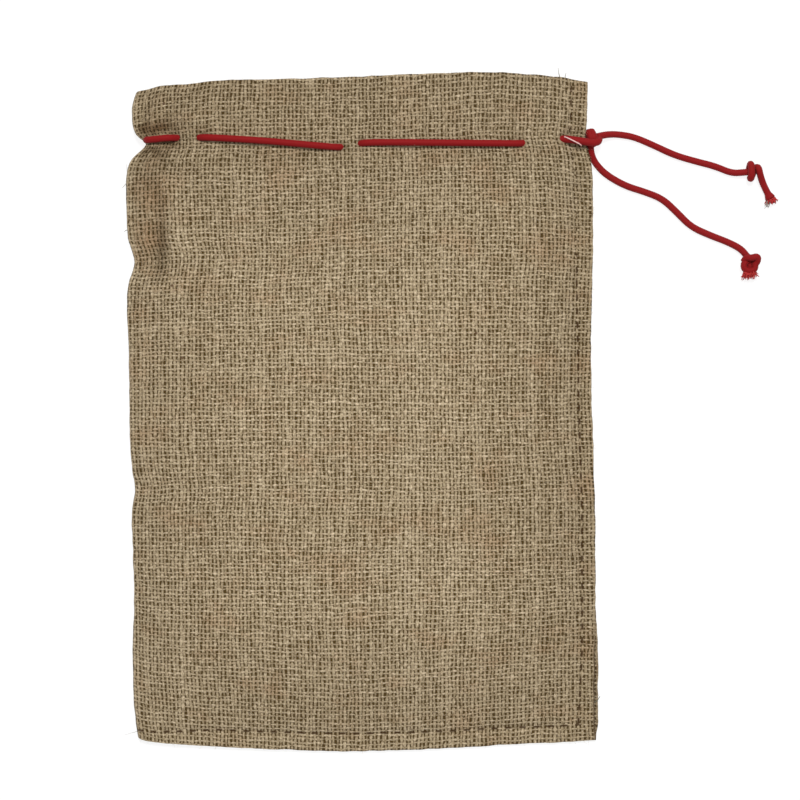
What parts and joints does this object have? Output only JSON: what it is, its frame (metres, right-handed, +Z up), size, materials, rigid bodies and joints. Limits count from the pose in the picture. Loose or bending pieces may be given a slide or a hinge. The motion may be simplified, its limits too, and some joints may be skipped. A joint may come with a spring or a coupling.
{
  "type": "drawstring gift pouch",
  "caption": "Flat woven jute pouch with a turned-in mouth, sewn side and bottom seams, and a red drawcord threaded round the neck that ends in knotted tails.",
  "frame": {"origin": "on the surface the pouch lies on, under the middle of the cloth", "axes": "+X from the folded left edge to the sewn right edge, +Y from the bottom seam to the mouth, +Z up from the surface it lies on to the front face"},
  "size_m": [0.34, 0.3518, 0.0157],
  "materials": {
    "jute_cloth": "undyed plain-woven jute, coarse and hairy",
    "sewing_thread": "matt dark brown sewing thread",
    "tack_thread": "pale pink-white thread",
    "red_cord": "soft round braided cord, deep red, matt"
  },
  "bodies": {
    "bag": {"front_panel": "jute_cloth", "back_panel": "jute_cloth", "front_hem": "jute_cloth", "back_hem": "jute_cloth", "side_allowance_front": "jute_cloth", "side_allowance_back": "jute_cloth", "bottom_allowance_front": "jute_cloth", "bottom_allowance_back": "jute_cloth", "side_seam_needle_thread": "sewing_thread", "side_seam_bobbin_thread": "sewing_thread", "bottom_seam_needle_thread": "sewing_thread", "bottom_seam_bobbin_thread": "sewing_thread", "tack_thread": "tack_thread"},
    "drawcord": {"neck_cord": "red_cord", "neck_knot": "red_cord", "upper_tail_root": "red_cord", "lower_tail_root": "red_cord"},
    "upper_tail": {"upper_tail_cord": "red_cord", "upper_end_knot": "red_cord", "upper_cord_end": "red_cord", "upper_end_fray": "red_cord"},
    "lower_tail": {"lower_tail_cord": "red_cord", "lower_end_knot": "red_cord", "lower_end_fray": "red_cord"}
  },
  "joints": [
    {"name": "cord_pull", "type": "slide", "parent": "bag", "child": "drawcord", "axis": [1, 0, 0], "range_m": [0, 0.06], "deforming": ["neck_cord"]},
    {"name": "upper_tail_swing", "type": "hinge", "parent": "drawcord", "child": "upper_tail", "pos_m": [0.1326, 0.1454, 0.00175], "axis": [0, 0, 1], "range_deg": [-8, 60]},
    {"name": "lower_tail_swing", "type": "hinge", "parent": "drawcord", "child": "lower_tail", "pos_m": [0.1224, 0.1292, 0.00175], "axis": [0, 0, 1], "range_deg": [-35, 8]}
  ]
}
